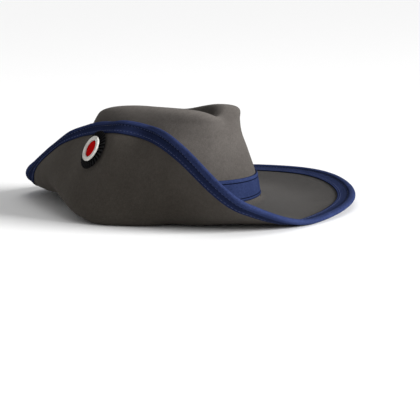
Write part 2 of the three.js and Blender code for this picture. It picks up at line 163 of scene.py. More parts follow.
# Crown rings from the floor of the top crease down to the head opening, in mm
CROWN = {
    "half_width": [2.5, 11, 22, 32.5, 44, 56, 67, 76.5, 82.5, 84],
    "front": [46, 52, 58.5, 65.5, 73.5, 78.5, 83.5, 90, 99, 101],
    "back": [22.5, 32.5, 46.5, 60, 72, 79, 84.5, 92, 98.5, 101],
    "z_side": [82.5, 84, 92, 96, 92.5, 84, 69, 50, 27, 0],
    "z_front": [83.5, 84, 85, 86.5, 85, 79, 67, 49, 27, 0],
    "z_back": [85, 86.5, 88, 88, 84, 76, 63.5, 46.5, 27, 0],
    "corner": [0.1, 0.15, 0.15, 0.16, 0.21, 0.1, 0.05, 0, -0.01, 0.035],
    "left_drop": [0.5, 2.5, 4.5, 9, 8, 5, 2, 0, 0, 0],
    "left_rise": [-0.5, 1.5, 5.5, 6, 6, 2.5, 1, 0, 0, 0],
}
BACK_CORNER_SHARE = 0.4
BASE_RING = 9
FOLD_RING = 8.88

# Two finger pinches at the front: angles in degrees, lengths in mm
PINCH_ANGLE = 39
PINCH_DEPTH = 4
PINCH_SPREAD = 16
PINCH_HEIGHT = 68.5
PINCH_REACH = 12
PINCH_FROM_RING = 3
PINCH_FADE_RINGS = 1.5


def smooth(x):
    """0 below 0, 1 above 1, and 3x squared less 2x cubed between."""
    x = np.clip(x, 0, 1)
    return x * x * (3 - 2 * x)


def brim_station(column, degrees):
    """One column of the brim table at any angles: a cubic through its stations,
    once round, whose slope at a station is the weighted harmonic mean of the
    slopes on both sides, or 0 where they differ in sign."""
    angle = np.array(BRIM["angle"], float)
    value = np.array(BRIM[column], float)
    step = np.diff(np.append(angle, angle[0] + 360))
    secant = np.diff(np.append(value, value[0])) / step
    before, after = np.roll(secant, 1), secant
    weight_before, weight_after = 2 * step + np.roll(step, 1), step + 2 * np.roll(step, 1)
    same_way = before * after > 0
    bottom = (weight_before / np.where(same_way, before, 1)
              + weight_after / np.where(same_way, after, 1))
    slope = np.where(same_way, (weight_before + weight_after) / bottom, 0)
    turned = np.mod(degrees, 360)
    k = np.searchsorted(angle, turned, "right") - 1
    following = (k + 1) % len(angle)
    f = (turned - angle[k]) / step[k]
    rise = smooth(f)
    return (value[k] * (1 - rise) + value[following] * rise
            + step[k] * (f * (1 - f) ** 2 * slope[k] - f * f * (1 - f) * slope[following]))


def blocked_brim(degrees, length):
    """The middle of the brim's felt as blocked, in metres, at each angle (columns)
    and each length out along the felt (rows): the profile's slope is summed step by
    step, outward and up, along the normal of the head opening's ellipse."""
    c, s = np.cos(np.radians(degrees)), np.sin(np.radians(degrees))
    outward = np.stack([HEAD_HALF_LENGTH * c, HEAD_HALF_WIDTH * s])
    outward /= np.hypot(*outward)
    width = brim_station("width", degrees) / 1000
    steps = PROFILE_STEPS
    along = (np.arange(steps)[:, None] + 0.5) / steps * width
    bend_from = brim_station("bend_from", degrees) / 1000
    bend_to = brim_station("bend_to", degrees) / 1000
    slope_in = brim_station("slope_in", degrees)
    slope = (slope_in
             + (brim_station("slope_out", degrees) - slope_in)
             * smooth((along - bend_from) / (bend_to - bend_from))
             + brim_station("curl", degrees)
             * smooth((along - width + CURL_FROM_EDGE) / CURL_LENGTH))
    slope = np.radians(slope)
    still = np.zeros((1, len(degrees)))
    out = np.vstack([still, np.cumsum(np.cos(slope), 0)]) * width / steps
    up = np.vstack([still, np.cumsum(np.sin(slope), 0)]) * width / steps
    place = np.clip(length / width * steps, 0, steps - 1e-9)
    low = place.astype(int)
    part = place - low
    out = np.take_along_axis(out, low, 0) * (1 - part) + np.take_along_axis(out, low + 1, 0) * part
    up = np.take_along_axis(up, low, 0) * (1 - part) + np.take_along_axis(up, low + 1, 0) * part
    return np.stack([HEAD_HALF_WIDTH * c + outward[0] * out,
                     HEAD_HALF_LENGTH * s + outward[1] * out, up], -1)


def cockade_seat():
    """Where the cockade's post pulls the felt flat: the middle and the outward
    direction of a plane through four points of the blocked brim round the post."""
    turn = np.degrees(SEAT_REACH / (HEAD_HALF_LENGTH + COCKADE_FROM_EDGE))
    sides = COCKADE_ANGLE + turn * np.array([-1, 0, 1])
    length = brim_station("width", sides) / 1000 - COCKADE_FROM_EDGE
    grid = blocked_brim(sides, length + SEAT_REACH * np.array([-1, 0, 1])[:, None])
    inner, outer, before, after = grid[0, 1], grid[2, 1], grid[1, 0], grid[1, 2]
    out = np.cross(outer - inner, before - after)
    return (inner + outer + before + after) / 4, out / np.linalg.norm(out)


def brim_surface(degrees, length):
    """The middle of the brim's felt, drawn toward the cockade's seat plane by a
    share that fades from the post as exp of minus the fourth power."""
    points = blocked_brim(degrees, length)
    away = points - seat_middle
    height = away @ seat_out
    radius = np.linalg.norm(away - height[..., None] * seat_out, axis=-1)
    pressed = SEAT_PRESSED * np.exp(-(radius / SEAT_RADIUS) ** 4)
    return points - (height * pressed)[..., None] * seat_out


def crown_ring(column, station):
    """One column of the crown table at any station: a Catmull-Rom cubic."""
    value = np.array(CROWN[column], float)
    value = np.concatenate([[2 * value[0] - value[1]], value, [2 * value[-1] - value[-2]]])
    k = np.minimum(station.astype(int), BASE_RING - 1)
    f = station - k
    a, b, c, d = value[k], value[k + 1], value[k + 2], value[k + 3]
    return 0.5 * (2 * b + (c - a) * f + (2 * a - 5 * b + 4 * c - d) * f ** 2
                  + (3 * b - a - 3 * c + d) * f ** 3)


def crown_surface(degrees, station):
    """The middle of the crown's felt, in metres, at each angle (columns) and each
    ring station (rows): an oval whose corners swell with the square of the sine of
    twice the angle. Its front goes to its own height with the sixth power of the
    sine, its back with the square, and its left side with the square of the cosine.
    Two bell-shaped finger pinches are taken off."""
    station = np.broadcast_to(station, (station.shape[0], len(degrees)))
    c, s = np.cos(np.radians(degrees)), np.sin(np.radians(degrees))
    swell = crown_ring("corner", station) * np.where(s < 0, 1, BACK_CORNER_SHARE)
    bulge = 1 + swell * np.sin(2 * np.radians(degrees)) ** 2
    reach = np.where(s < 0, crown_ring("front", station), crown_ring("back", station))
    z_side = crown_ring("z_side", station)
    x = crown_ring("half_width", station) * c * bulge
    y = reach * s * bulge
    z = (z_side
         + (crown_ring("z_front", station) - z_side) * np.maximum(0, -s) ** 6
         + (crown_ring("z_back", station) - z_side) * np.maximum(0, s) ** 2
         - crown_ring("left_drop", station) * np.maximum(0, c) ** 2
         + crown_ring("left_rise", station) * ((c > 0) & (s < 0)) * np.sin(2 * np.radians(degrees)) ** 2)
    outside = np.clip((station - PINCH_FROM_RING) / PINCH_FADE_RINGS, 0, 1)
    for side in (-1, 1):
        away = np.mod(degrees - 270 - side * PINCH_ANGLE + 180, 360) - 180
        depth = (PINCH_DEPTH * outside * np.exp(-(away / PINCH_SPREAD) ** 2)
                 * np.exp(-((z - PINCH_HEIGHT) / PINCH_REACH) ** 2))
        radius = np.hypot(x, y)
        x = x - depth * x / radius
        y = y - depth * y / radius
    return np.stack([x, y, z], -1) / 1000


def fold_surface(degrees, share):
    """The rounded corner between crown and brim: a quadratic curve from the crown's
    last ring to the brim, pulled toward the head opening's edge."""
    crown_end = crown_surface(degrees, np.full((1, 1), FOLD_RING))
    corner = crown_surface(degrees, np.full((1, 1), float(BASE_RING)))
    brim_start = brim_surface(degrees, np.full((1, len(degrees)), FOLD_REACH))
    share = share[:, None, None]
    return (1 - share) ** 2 * crown_end + 2 * share * (1 - share) * corner + share ** 2 * brim_start


def face_out(surface):
    """Unit directions out of a grid of points that closes on itself along its
    columns: the cross product of its differences down the rows and round the hat."""
    down = np.gradient(surface, axis=0)
    around = np.roll(surface, -1, 1) - np.roll(surface, 1, 1)
    out = np.cross(down, around)
    return out / np.maximum(np.linalg.norm(out, axis=-1, keepdims=True), 1e-12)


def lay_on_table(points):
    """Turns points by the hat's lean, shifts them to the hat's place, and presses
    flat what would go below the table: half the sum of the height and its length,
    with a soft start."""
    axis = Vector((-np.sin(LEAN_TOWARD), np.cos(LEAN_TOWARD), 0))
    turn = np.array(Matrix.Rotation(LEAN, 3, axis))
    placed = points @ turn.T + np.array(HAT_ORIGIN)
    height = placed[..., 2]
    placed[..., 2] = 0.5 * (height + np.sqrt(height ** 2 + PRESS_SOFTNESS ** 2))
    return placed


def wrapped_faces(rows, columns, closed_rows):
    """Corner numbers of the quads of a grid that closes along its columns, and
    along its rows too where closed_rows is true."""
    last = rows if closed_rows else rows - 1
    r, c = np.meshgrid(np.arange(last), np.arange(columns), indexing="ij")
    below, beside = (r + 1) % rows, (c + 1) % columns
    quads = np.stack([r * columns + c, below * columns + c,
                      below * columns + beside, r * columns + beside], -1)
    return quads.reshape(-1, 4)


def point_values(piece, name, values):
    """A named value at each point of a piece, which its material reads."""
    attribute = piece.data.attributes.new(name, "FLOAT", "POINT")
    attribute.data.foreach_set("value", values.ravel().astype(np.float32))


def hat_piece(name, points, faces, uv=None):
    """A mesh object of points and faces, with a UV map in metres where one is given."""
    mesh = bpy.data.meshes.new(name)
    mesh.from_pydata(points.reshape(-1, 3).tolist(), [], faces)
    if uv is not None:
        layer = mesh.uv_layers.new(name="across_and_along")
        layer.data.foreach_set("uv", uv.reshape(-1).astype(np.float32))
    mesh.polygons.foreach_set("use_smooth", [True] * len(mesh.polygons))
    mesh.update()
    piece = bpy.data.objects.new(name, mesh)
    bpy.context.scene.collection.objects.link(piece)
    return piece


seat_middle, seat_out = cockade_seat()
FELT_COLUMNS = 288
CROWN_ROWS = 64
FOLD_ROWS = 5
BRIM_ROWS = 72
UPRIGHT_ROWS = 12
felt_angles = np.arange(FELT_COLUMNS) * 360 / FELT_COLUMNS
crown_rows = crown_surface(felt_angles, np.linspace(0, FOLD_RING, CROWN_ROWS)[:, None])
fold_rows = fold_surface(felt_angles, np.linspace(0, 1, FOLD_ROWS + 2)[1:-1])
brim_lengths = (FOLD_REACH + np.linspace(0, 1, BRIM_ROWS)[:, None]
                * (brim_station("width", felt_angles) / 1000 - FOLD_REACH))
felt_middle = np.concatenate([crown_rows, fold_rows, brim_surface(felt_angles, brim_lengths)])
felt_out = face_out(felt_middle)
# In the crease's floor the rings are narrow, so their way out is blended upright
upright = 1 - smooth(np.arange(len(felt_middle)) / UPRIGHT_ROWS)[:, None, None]
felt_out = felt_out * (1 - upright) + np.array([0, 0, 1]) * upright
felt_out /= np.linalg.norm(felt_out, axis=-1, keepdims=True)
outer_face = felt_middle + felt_out * FELT / 2
inner_face = felt_middle - felt_out * FELT / 2
felt_points = lay_on_table(np.concatenate([outer_face, inner_face[::-1]]))
felt_quads = wrapped_faces(len(felt_points), FELT_COLUMNS, False)

# The crease's floor: the first and last rings are closed straight across
step = np.arange(-FELT_COLUMNS // 4, FELT_COLUMNS // 4)
near, near_next = step % FELT_COLUMNS, (step + 1) % FELT_COLUMNS
far = (FELT_COLUMNS // 2 - step) % FELT_COLUMNS
far_next = (FELT_COLUMNS // 2 - step - 1) % FELT_COLUMNS
floor_quads = np.stack([near, near_next, far_next, far], -1)
last_ring = (len(felt_points) - 1) * FELT_COLUMNS
closing = np.concatenate([floor_quads, floor_quads[:, ::-1] + last_ring]).tolist()
# The quads at both ends of the strip have two equal corners and become triangles
closing = [list(dict.fromkeys(quad)) for quad in closing]
felt = hat_piece("felt", felt_points, felt_quads.tolist() + closing)

# Painted light and shade by face, one felt in three tones: 0 on the brim's upper face,
# half on the crown, 1 on the underside; lightest on the crown, dark grey above the brim, browner
# underneath
FADE_ROWS = 6
EDGE_ROWS = 60
painted_face_light = np.concatenate([
    np.full(CROWN_ROWS + FOLD_ROWS, 0.5),
    np.linspace(0.4, 0, FADE_ROWS),
    np.zeros(BRIM_ROWS - FADE_ROWS),
    np.linspace(0.84, 1, EDGE_ROWS),
    np.ones(len(felt_middle) - EDGE_ROWS)])
point_values(felt, "painted_face_light", np.repeat(painted_face_light, FELT_COLUMNS))

# Painted shade and highlight on the felt, by rows: painted shade in the top crease
# and low on the crown, and a painted highlight along the crease's ridge
PAINTED_SHADE_AND_HIGHLIGHT = {
    "row": [15, 19, 22, 25, 30, 45, 57, 68, 76],
    "share": [0.05, 0.4, 1, 1, 0.5, 0.5, 0.15, 0.15, 0.5],
}
painted_shade_and_highlight = np.interp(np.arange(len(painted_face_light)), PAINTED_SHADE_AND_HIGHLIGHT["row"], PAINTED_SHADE_AND_HIGHLIGHT["share"])
point_values(felt, "painted_shade_and_highlight", np.repeat(painted_shade_and_highlight, FELT_COLUMNS))

felt_cloth, felt_tree, felt_shader = nodes_of("grey_wool_felt")


def add(tree, kind, inputs=(), **settings):
    """A node of one kind in a tree, with its settings and its inputs: a socket is
    linked, and a plain value is set."""
    node = tree.nodes.new(kind)
    for key, value in settings.items():
        setattr(node, key, value)
    for key, value in dict(inputs).items():
        if isinstance(value, bpy.types.NodeSocket):
            tree.links.new(value, node.inputs[key])
        else:
            node.inputs[key].default_value = value
    return node


def noise(tree, place, scale, detail=3, roughness=0.55):
    """Cloudy values from 0 to 1 whose blobs are about one over scale metres wide."""
    return add(tree, "ShaderNodeTexNoise",
               {"Vector": place, "Scale": scale, "Detail": detail, "Roughness": roughness}).outputs["Fac"]


def shade(tree, value, dark, light, low=0.3, high=0.7):
    """A colour ramp from dark at low to light at high."""
    ramp = add(tree, "ShaderNodeValToRGB", {"Fac": value})
    ramp.color_ramp.elements[0].position = low
    ramp.color_ramp.elements[1].position = high
    ramp.color_ramp.elements[0].color = (*dark, 1)
    ramp.color_ramp.elements[1].color = (*light, 1)
    return ramp.outputs["Color"]


def mixed(tree, first, second, share, way="MIX"):
    """Two colours mixed, by share or in the way named."""
    node = add(tree, "ShaderNodeMix", data_type="RGBA", blend_type=way)
    for socket, value in zip((node.inputs[0], node.inputs[6], node.inputs[7]), (share, first, second)):
        if isinstance(value, bpy.types.NodeSocket):
            tree.links.new(value, socket)
        else:
            socket.default_value = value
    return node.outputs[2]


def varied(tree, tone, value, least, most, low=0.3, high=0.7):
    """A colour times a grey, which goes from least to most as value goes from low
    to high."""
    return mixed(tree, tone, shade(tree, value, (least,) * 3, (most,) * 3, low, high), 1.0, "MULTIPLY")


def relief(tree, height, depth, under=None):
    """A bump of that depth in metres, laid over another bump where one is given."""
    inputs = {"Height": height, "Distance": depth, "Strength": 1.0}
    if under is not None:
        inputs["Normal"] = under
    return add(tree, "ShaderNodeBump", inputs).outputs["Normal"]


felt_place = add(felt_tree, "ShaderNodeTexCoord").outputs["Object"]
patches = noise(felt_tree, felt_place, 22, 4, 0.6)
mottle = noise(felt_tree, felt_place, 260, 4, 0.65)
grain = noise(felt_tree, felt_place, 620, 2, 0.5)
fibres = noise(felt_tree, felt_place, 2600, 5, 0.7)
painted_face_light_share = add(felt_tree, "ShaderNodeAttribute", attribute_name="painted_face_light").outputs["Fac"]
# One felt painted in three tones by face as painted light and shade: lightest on the crown, dark grey on
# the brim's upper face, browner on the underside
toward_crown = shade(felt_tree, painted_face_light_share, (0, 0, 0), (1, 1, 1), 0.0, 0.5)
toward_under = shade(felt_tree, painted_face_light_share, (0, 0, 0), (1, 1, 1), 0.5, 1.0)
felt_dark = mixed(felt_tree, (0.028, 0.0277, 0.028, 1), (0.063, 0.0565, 0.052, 1), toward_crown)
felt_dark = mixed(felt_tree, felt_dark, (0.045, 0.0385, 0.032, 1), toward_under)
felt_light = mixed(felt_tree, (0.036, 0.0356, 0.036, 1), (0.081, 0.0735, 0.068, 1), toward_crown)
felt_light = mixed(felt_tree, felt_light, (0.058, 0.051, 0.043, 1), toward_under)
felt_tone = mixed(felt_tree, felt_dark, felt_light, shade(felt_tree, patches, (0, 0, 0), (1, 1, 1)))
# Painted shade darkens the felt in the crease and low on the crown, and a painted highlight lightens it
# along the ridge
painted_shade_and_highlight_value = add(felt_tree, "ShaderNodeAttribute", attribute_name="painted_shade_and_highlight").outputs["Fac"]
felt_tone = varied(felt_tree, felt_tone, painted_shade_and_highlight_value, 0.62, 1.38, 0.0, 1.0)
felt_tone = varied(felt_tree, felt_tone, mottle, 0.90, 1.06)
felt_tone = varied(felt_tree, felt_tone, grain, 0.91, 1.07)
felt_tone = varied(felt_tree, felt_tone, fibres, 0.75, 1.22)
felt_tree.links.new(felt_tone, felt_shader.inputs["Base Color"])
felt_bumps = relief(felt_tree, mottle, 0.0002)
felt_bumps = relief(felt_tree, grain, 0.00012, felt_bumps)
felt_bumps = relief(felt_tree, fibres, 0.00025, felt_bumps)
felt_tree.links.new(felt_bumps, felt_shader.inputs["Normal"])
felt_shader.inputs["Roughness"].default_value = 0.95
felt_shader.inputs["Specular IOR Level"].default_value = 0.04
felt_shader.inputs["Sheen Weight"].default_value = 0.08
felt_shader.inputs["Sheen Roughness"].default_value = 0.6
felt_shader.inputs["Sheen Tint"].default_value = (0.9, 0.84, 0.78, 1)
felt.data.materials.append(felt_cloth)
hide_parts("felt_body")
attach(felt, "root")


# Edge binding: a navy grosgrain ribbon folded over the brim's edge, rolled to
# a round bead along the edge and sewn through brim and ribbon twice.
BINDING_WIDTH = 0.017
RIBBON = 0.0006
RIBBON_GAP = 0.0001
BEAD_INWARD = 0.0052
BEAD_HALF = 0.0029
BEAD_START = 0.0022
BEAD_PAST = 0.0021
SEWN_PAST_BEAD = 0.0004
SEWN_DENT = 0.0003
SELVEDGE_RISE = 0.00025
SELVEDGE_FROM_INNER = 0.0008
RIDGE_REACH = 0.0006
BINDING_COLUMNS = 720

# The brim near its edge is sampled each half millimetre, from 1 mm past the edge,
# so that sample 2 lies on the edge itself
SAMPLED_PAST = 0.001
SAMPLED_IN = 0.022
EDGE_SAMPLES = 47
EDGE_SAMPLE = 2

binding_angles = np.arange(BINDING_COLUMNS) * 360 / BINDING_COLUMNS


def brim_frame(degrees, inward):
    """Points on the middle of the brim at distances in from its edge (rows), with
    the direction out of its upper face and the direction out past its edge. They lie
    on straight lines between fine samples, and past the edge on its tangent."""
    width = brim_station("width", degrees) / 1000
    fine = np.linspace(-SAMPLED_PAST, SAMPLED_IN, EDGE_SAMPLES)[:, None]
    rows = brim_surface(degrees, np.clip(width - fine, 0, width))
    past = rows[EDGE_SAMPLE] - rows[EDGE_SAMPLE + 1]
    past /= np.linalg.norm(past, axis=-1, keepdims=True)
    rows[:EDGE_SAMPLE] = rows[EDGE_SAMPLE] - fine[:EDGE_SAMPLE, :, None] * past
    out = -face_out(rows)
    place = np.interp(inward, fine[:, 0], np.arange(EDGE_SAMPLES))
    low = np.clip(place.astype(int), 0, EDGE_SAMPLES - 2)
    part = (place - low)[:, None, None]
    point = rows[low] * (1 - part) + rows[low + 1] * part
    facing = out[low] * (1 - part) + out[low + 1] * part
    return point, facing / np.linalg.norm(facing, axis=-1, keepdims=True), past


def ribbon_height(inward):
    """Height of the ribbon's outer face over the middle of the felt: a flat ribbon
    with a bell-shaped selvedge at its inner edge, a bell-shaped dent where it is sewn,
    and half an ellipse for the bead along the brim's edge."""
    flat = FELT / 2 + RIBBON_GAP + RIBBON
    from_selvedge = inward - BINDING_WIDTH + SELVEDGE_FROM_INNER
    selvedge = SELVEDGE_RISE * np.exp(-(from_selvedge / RIDGE_REACH) ** 2)
    from_seam = inward - BEAD_INWARD - SEWN_PAST_BEAD
    dent = -SEWN_DENT * np.exp(-(from_seam / RIDGE_REACH) ** 2)
    off_middle = (inward - BEAD_INWARD / 2) / (BEAD_INWARD / 2)
    bead = (BEAD_HALF - flat) * np.sqrt(np.clip(1 - off_middle ** 2, 0, 1))
    return flat + selvedge + dent + np.where(inward < BEAD_INWARD, bead, 0)


# The section runs out along the upper face from its inner edge, round the bead,
# back along the lower face, and then along the felt inside the fold
top_inward = np.concatenate([
    np.linspace(BINDING_WIDTH, BEAD_INWARD, 16), np.linspace(BEAD_INWARD, BEAD_START, 6)[1:]])
bead_turn = np.linspace(0, np.pi, 11)
bead_reach = BEAD_START - (BEAD_START + BEAD_PAST) * np.sin(bead_turn)
bead_lift = BEAD_HALF * np.cos(bead_turn)
binding_inward = np.concatenate([top_inward, bead_reach[1:-1], top_inward[::-1]])
binding_lift = np.concatenate([
    ribbon_height(top_inward), bead_lift[1:-1], -ribbon_height(top_inward)[::-1]])
inside_half = [BINDING_WIDTH, 0.008, 0.0002]
inside_inward = np.array(inside_half + inside_half[::-1])
inside_lift = np.array([-1, -1, -1, 1, 1, 1]) * (FELT / 2 + RIBBON_GAP)
section_inward = np.concatenate([binding_inward, inside_inward])
section_lift = np.concatenate([binding_lift, inside_lift])

middle_line, binding_facing, binding_past = brim_frame(binding_angles, np.maximum(section_inward, 0))
binding_points = (middle_line + binding_facing * section_lift[:, None, None]
                  - binding_past * np.minimum(section_inward, 0)[:, None, None])
binding_points = lay_on_table(binding_points)
binding_quads = wrapped_faces(len(section_inward), BINDING_COLUMNS, True)


def run_round(line):
    """Length run along a closed line, at each of its points and back at the first."""
    step = np.linalg.norm(np.roll(line, -1, 0) - line, axis=-1)
    return np.concatenate([[0], np.cumsum(step)])


def ribbon_uv(lengthwise, crosswise):
    """UV in metres of a ribbon's quads: along it in U and across it in V, at the
    four corners in the order of its faces."""
    rows, columns = np.meshgrid(
        np.arange(len(crosswise) - 1), np.arange(len(lengthwise) - 1), indexing="ij")
    rows, columns = rows.ravel(), columns.ravel()
    corners = ((0, 0), (1, 0), (1, 1), (0, 1))
    return np.stack([
        np.stack([lengthwise[columns + beside], crosswise[rows + below]], -1)
        for below, beside in corners], 1)


# The ribbon's length is run along the bead, and its width along the section
SECTION_RUN = 0.08
bead_row = len(top_inward) - 1
section_steps = np.hypot(np.diff(section_inward), np.diff(section_lift))
binding_across = np.concatenate([[0], np.cumsum(section_steps), [SECTION_RUN]])
binding = hat_piece("binding", binding_points, binding_quads.tolist(),
                    ribbon_uv(run_round(binding_points[bead_row]), binding_across))


WARP_SHARE = 0.45


def ribbon_cloth(name, dark, light, rib_spacing, width, across_tones):
    """Grosgrain: ribs across the ribbon as a sine of the length along it, crossed by
    finer warp threads, in a colour that wanders between two tones. across_tones
    lists distances across the ribbon's width, in mm, and the tone at each."""
    material, tree, shader = nodes_of(name)
    uv = add(tree, "ShaderNodeTexCoord").outputs["UV"]
    place = add(tree, "ShaderNodeTexCoord").outputs["Object"]
    parts = add(tree, "ShaderNodeSeparateXYZ", {"Vector": uv})

    def ribs(socket, spacing):
        """A sine from 0 to 1 that comes round once in each spacing."""
        angle = add(tree, "ShaderNodeMath", {0: socket, 1: 2 * np.pi / spacing}, operation="MULTIPLY")
        wave = add(tree, "ShaderNodeMath", {0: angle.outputs[0]}, operation="SINE")
        return add(tree, "ShaderNodeMath", {0: wave.outputs[0], 1: 0.5, 2: 0.5},
                   operation="MULTIPLY_ADD").outputs[0]

    weft = ribs(parts.outputs["X"], rib_spacing)
    warp = ribs(parts.outputs["Y"], rib_spacing * WARP_SHARE)
    fading = noise(tree, place, 45, 4, 0.6)
    slubs = noise(tree, place, 620, 4, 0.65)
    tone = shade(tree, fading, dark, light)
    tone = varied(tree, tone, weft, 0.75, 1.1, 0.0, 1.0)
    tone = varied(tree, tone, slubs, 0.72, 1.26)
    share = add(tree, "ShaderNodeMath", {0: parts.outputs["Y"], 1: 1 / width}, operation="MULTIPLY")
    ramp = add(tree, "ShaderNodeValToRGB", {"Fac": share.outputs[0]})
    stops = ramp.color_ramp.elements
    while len(stops) < len(across_tones):
        stops.new(1)
    for stop, (place_mm, value) in zip(stops, across_tones):
        stop.position = min(place_mm / 1000 / width, 1)
        stop.color = (value, value, value, 1)
    tone = mixed(tree, tone, ramp.outputs["Color"], 1.0, "MULTIPLY")
    tree.links.new(tone, shader.inputs["Base Color"])
    bumps = relief(tree, weft, 0.00012)
    bumps = relief(tree, warp, 0.00005, bumps)
    bumps = relief(tree, slubs, 0.00008, bumps)
    tree.links.new(bumps, shader.inputs["Normal"])
    rough = add(tree, "ShaderNodeMapRange",
                {"Value": slubs, "From Min": 0.3, "From Max": 0.7, "To Min": 0.72, "To Max": 0.9})
    tree.links.new(rough.outputs["Result"], shader.inputs["Roughness"])
    shader.inputs["Specular IOR Level"].default_value = 0.0
    shader.inputs["Sheen Weight"].default_value = 0.03
    shader.inputs["Sheen Roughness"].default_value = 0.4
    shader.inputs["Sheen Tint"].default_value = (0.45, 0.55, 1.0, 1)
    return material


# Tones from the inner edge to the bead, lighter on the brim's upper face as painted light and darker on
# the underside as painted shade, with a painted highlight on the bead
upper_lit_tones = [(0, 0.4), (0.8, 0.8), (2.5, 0.7), (3.0, 1.0), (3.5, 0.66), (4.7, 0.82),
               (5.3, 0.64), (9.5, 0.62), (10.8, 0.4), (11.9, 0.42), (12.8, 0.66), (14.5, 0.85)]
under_shaded_tones = [(0, 0.35), (0.8, 0.55), (2.5, 0.5), (3.0, 0.85), (3.5, 0.48), (4.7, 0.68),
               (5.3, 0.42), (9.5, 0.4), (10.8, 0.28), (11.9, 0.3), (12.8, 0.62), (14.5, 0.85)]
ribbon_run = binding_across[len(binding_inward) - 1]
binding.data.materials.append(ribbon_cloth(
    "navy_grosgrain", (0.026, 0.038, 0.104), (0.035, 0.050, 0.137), 0.0011, ribbon_run,
    upper_lit_tones + [(ribbon_run * 1000 - place_mm, value) for place_mm, value in under_shaded_tones[::-1]]))
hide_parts("edge_binding")
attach(binding, "root")


# Stitching of the binding: two rows of saddle stitches in blue waxed thread,
# one close under the bead and one near the ribbon's inner edge, on both faces.
STITCH_PITCH = 0.0042
STITCH_LENGTH = 0.0031
THREAD_RADIUS = 0.00026
THREAD_TAPER = (0.5, 0.85, 1, 1, 1, 0.85, 0.5)
THREAD_SIDES = 6
THREAD_PROUD = 0.35
THREAD_SINK = 1.6
THREAD_OFF_RIBBON = 0.00005
AHEAD = 0.0005
SEWN_FROM_INNER = 0.0032


def stitch_run(line, out):
    """Short tubes along a closed line of points: each sinks toward both ends by one
    less the root of a sine, and its rings are hexagons square to the line."""
    rings = len(THREAD_TAPER)
    closed = np.vstack([line, line[:1]])
    run = run_round(line)
    count = int(run[-1] // STITCH_PITCH)
    starts = np.arange(count) * run[-1] / count
    share = np.linspace(0, 1, rings)
    at = (starts[:, None] + share * STITCH_LENGTH).ravel()
    centre = np.stack([np.interp(at, run, closed[:, k]) for k in range(3)], -1)
    outs = np.vstack([out, out[:1]])
    lift = np.stack([np.interp(at, run, outs[:, k]) for k in range(3)], -1)
    further = (at + AHEAD) % run[-1]
    ahead = np.stack([np.interp(further, run, closed[:, k]) for k in range(3)], -1) - centre
    ahead /= np.linalg.norm(ahead, axis=-1, keepdims=True)
    sink = np.tile(1 - np.sin(np.pi * share) ** 0.5, count)
    centre = centre + lift * (THREAD_RADIUS * (THREAD_PROUD - THREAD_SINK * sink))[:, None]
    side = np.cross(ahead, lift)
    turn = np.arange(THREAD_SIDES) * 2 * np.pi / THREAD_SIDES
    radius = THREAD_RADIUS * np.tile(THREAD_TAPER, count)[:, None, None]
    points = centre[:, None] + radius * (
        np.cos(turn)[None, :, None] * side[:, None] + np.sin(turn)[None, :, None] * lift[:, None])
    base = wrapped_faces(rings, THREAD_SIDES, False)
    cap = np.array([[0, 1, 2, 3], [0, 3, 4, 5]])
    last_cap = cap + (rings - 1) * THREAD_SIDES
    each = np.concatenate([base[:, ::-1], cap[:, ::-1], last_cap])
    made_before = np.arange(count) * rings * THREAD_SIDES
    faces = (each[None] + made_before[:, None, None]).reshape(-1, 4)
    return points.reshape(-1, 3), faces


stitch_points, stitch_faces, made = [], [], 0
for inward in (BEAD_INWARD + SEWN_PAST_BEAD, BINDING_WIDTH - SEWN_FROM_INNER):
    line, facing, _ = brim_frame(binding_angles, np.array([inward]))
    height = ribbon_height(np.array([inward]))
    for face in (1, -1):
        seat = lay_on_table(line[0] + face * facing[0] * (height + THREAD_OFF_RIBBON))
        above = lay_on_table(line[0] + face * facing[0] * (height + 0.001))
        out = above - seat
        out /= np.linalg.norm(out, axis=-1, keepdims=True)
        points, faces = stitch_run(seat, out)
        stitch_points.append(points)
        stitch_faces.append(faces + made)
        made += len(points)
stitches = hat_piece("binding_stitches", np.concatenate(stitch_points),
                     np.concatenate(stitch_faces).tolist())
thread, thread_tree, thread_shader = nodes_of("waxed_blue_thread")
thread_place = add(thread_tree, "ShaderNodeTexCoord").outputs["Object"]
twist = noise(thread_tree, thread_place, 1800, 3)
thread_tree.links.new(shade(thread_tree, twist, (0.020, 0.034, 0.10), (0.045, 0.066, 0.17)),
                      thread_shader.inputs["Base Color"])
thread_tree.links.new(relief(thread_tree, noise(thread_tree, thread_place, 5200, 2), 0.00008),
                      thread_shader.inputs["Normal"])
thread_shader.inputs["Roughness"].default_value = 0.5
stitches.data.materials.append(thread)
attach(stitches, "root")


# Hat band: a blue ribbon round the foot of the crown, with its long edges
# folded over and sewn down, which leaves a dark seam above and below.
BAND_TOP_RING = 8.0
SAMPLES_TOP_RING = 7.9
BAND_WIDTH = 0.0238
BAND_OUT = 0.0017
HEM_TOP = 0.0042
HEM_BOTTOM = 0.0032
HEM_RISE = 0.00035
HEM_STEP = 0.0003
SEAM_HALF = 0.00032
SEAM_DEPTH = 0.0006
EDGE_DROP = 0.0007
EDGE_REACH = 0.0006
BAND_COLUMNS = 480
BAND_ROWS = 49
BAND_SAMPLES = 61

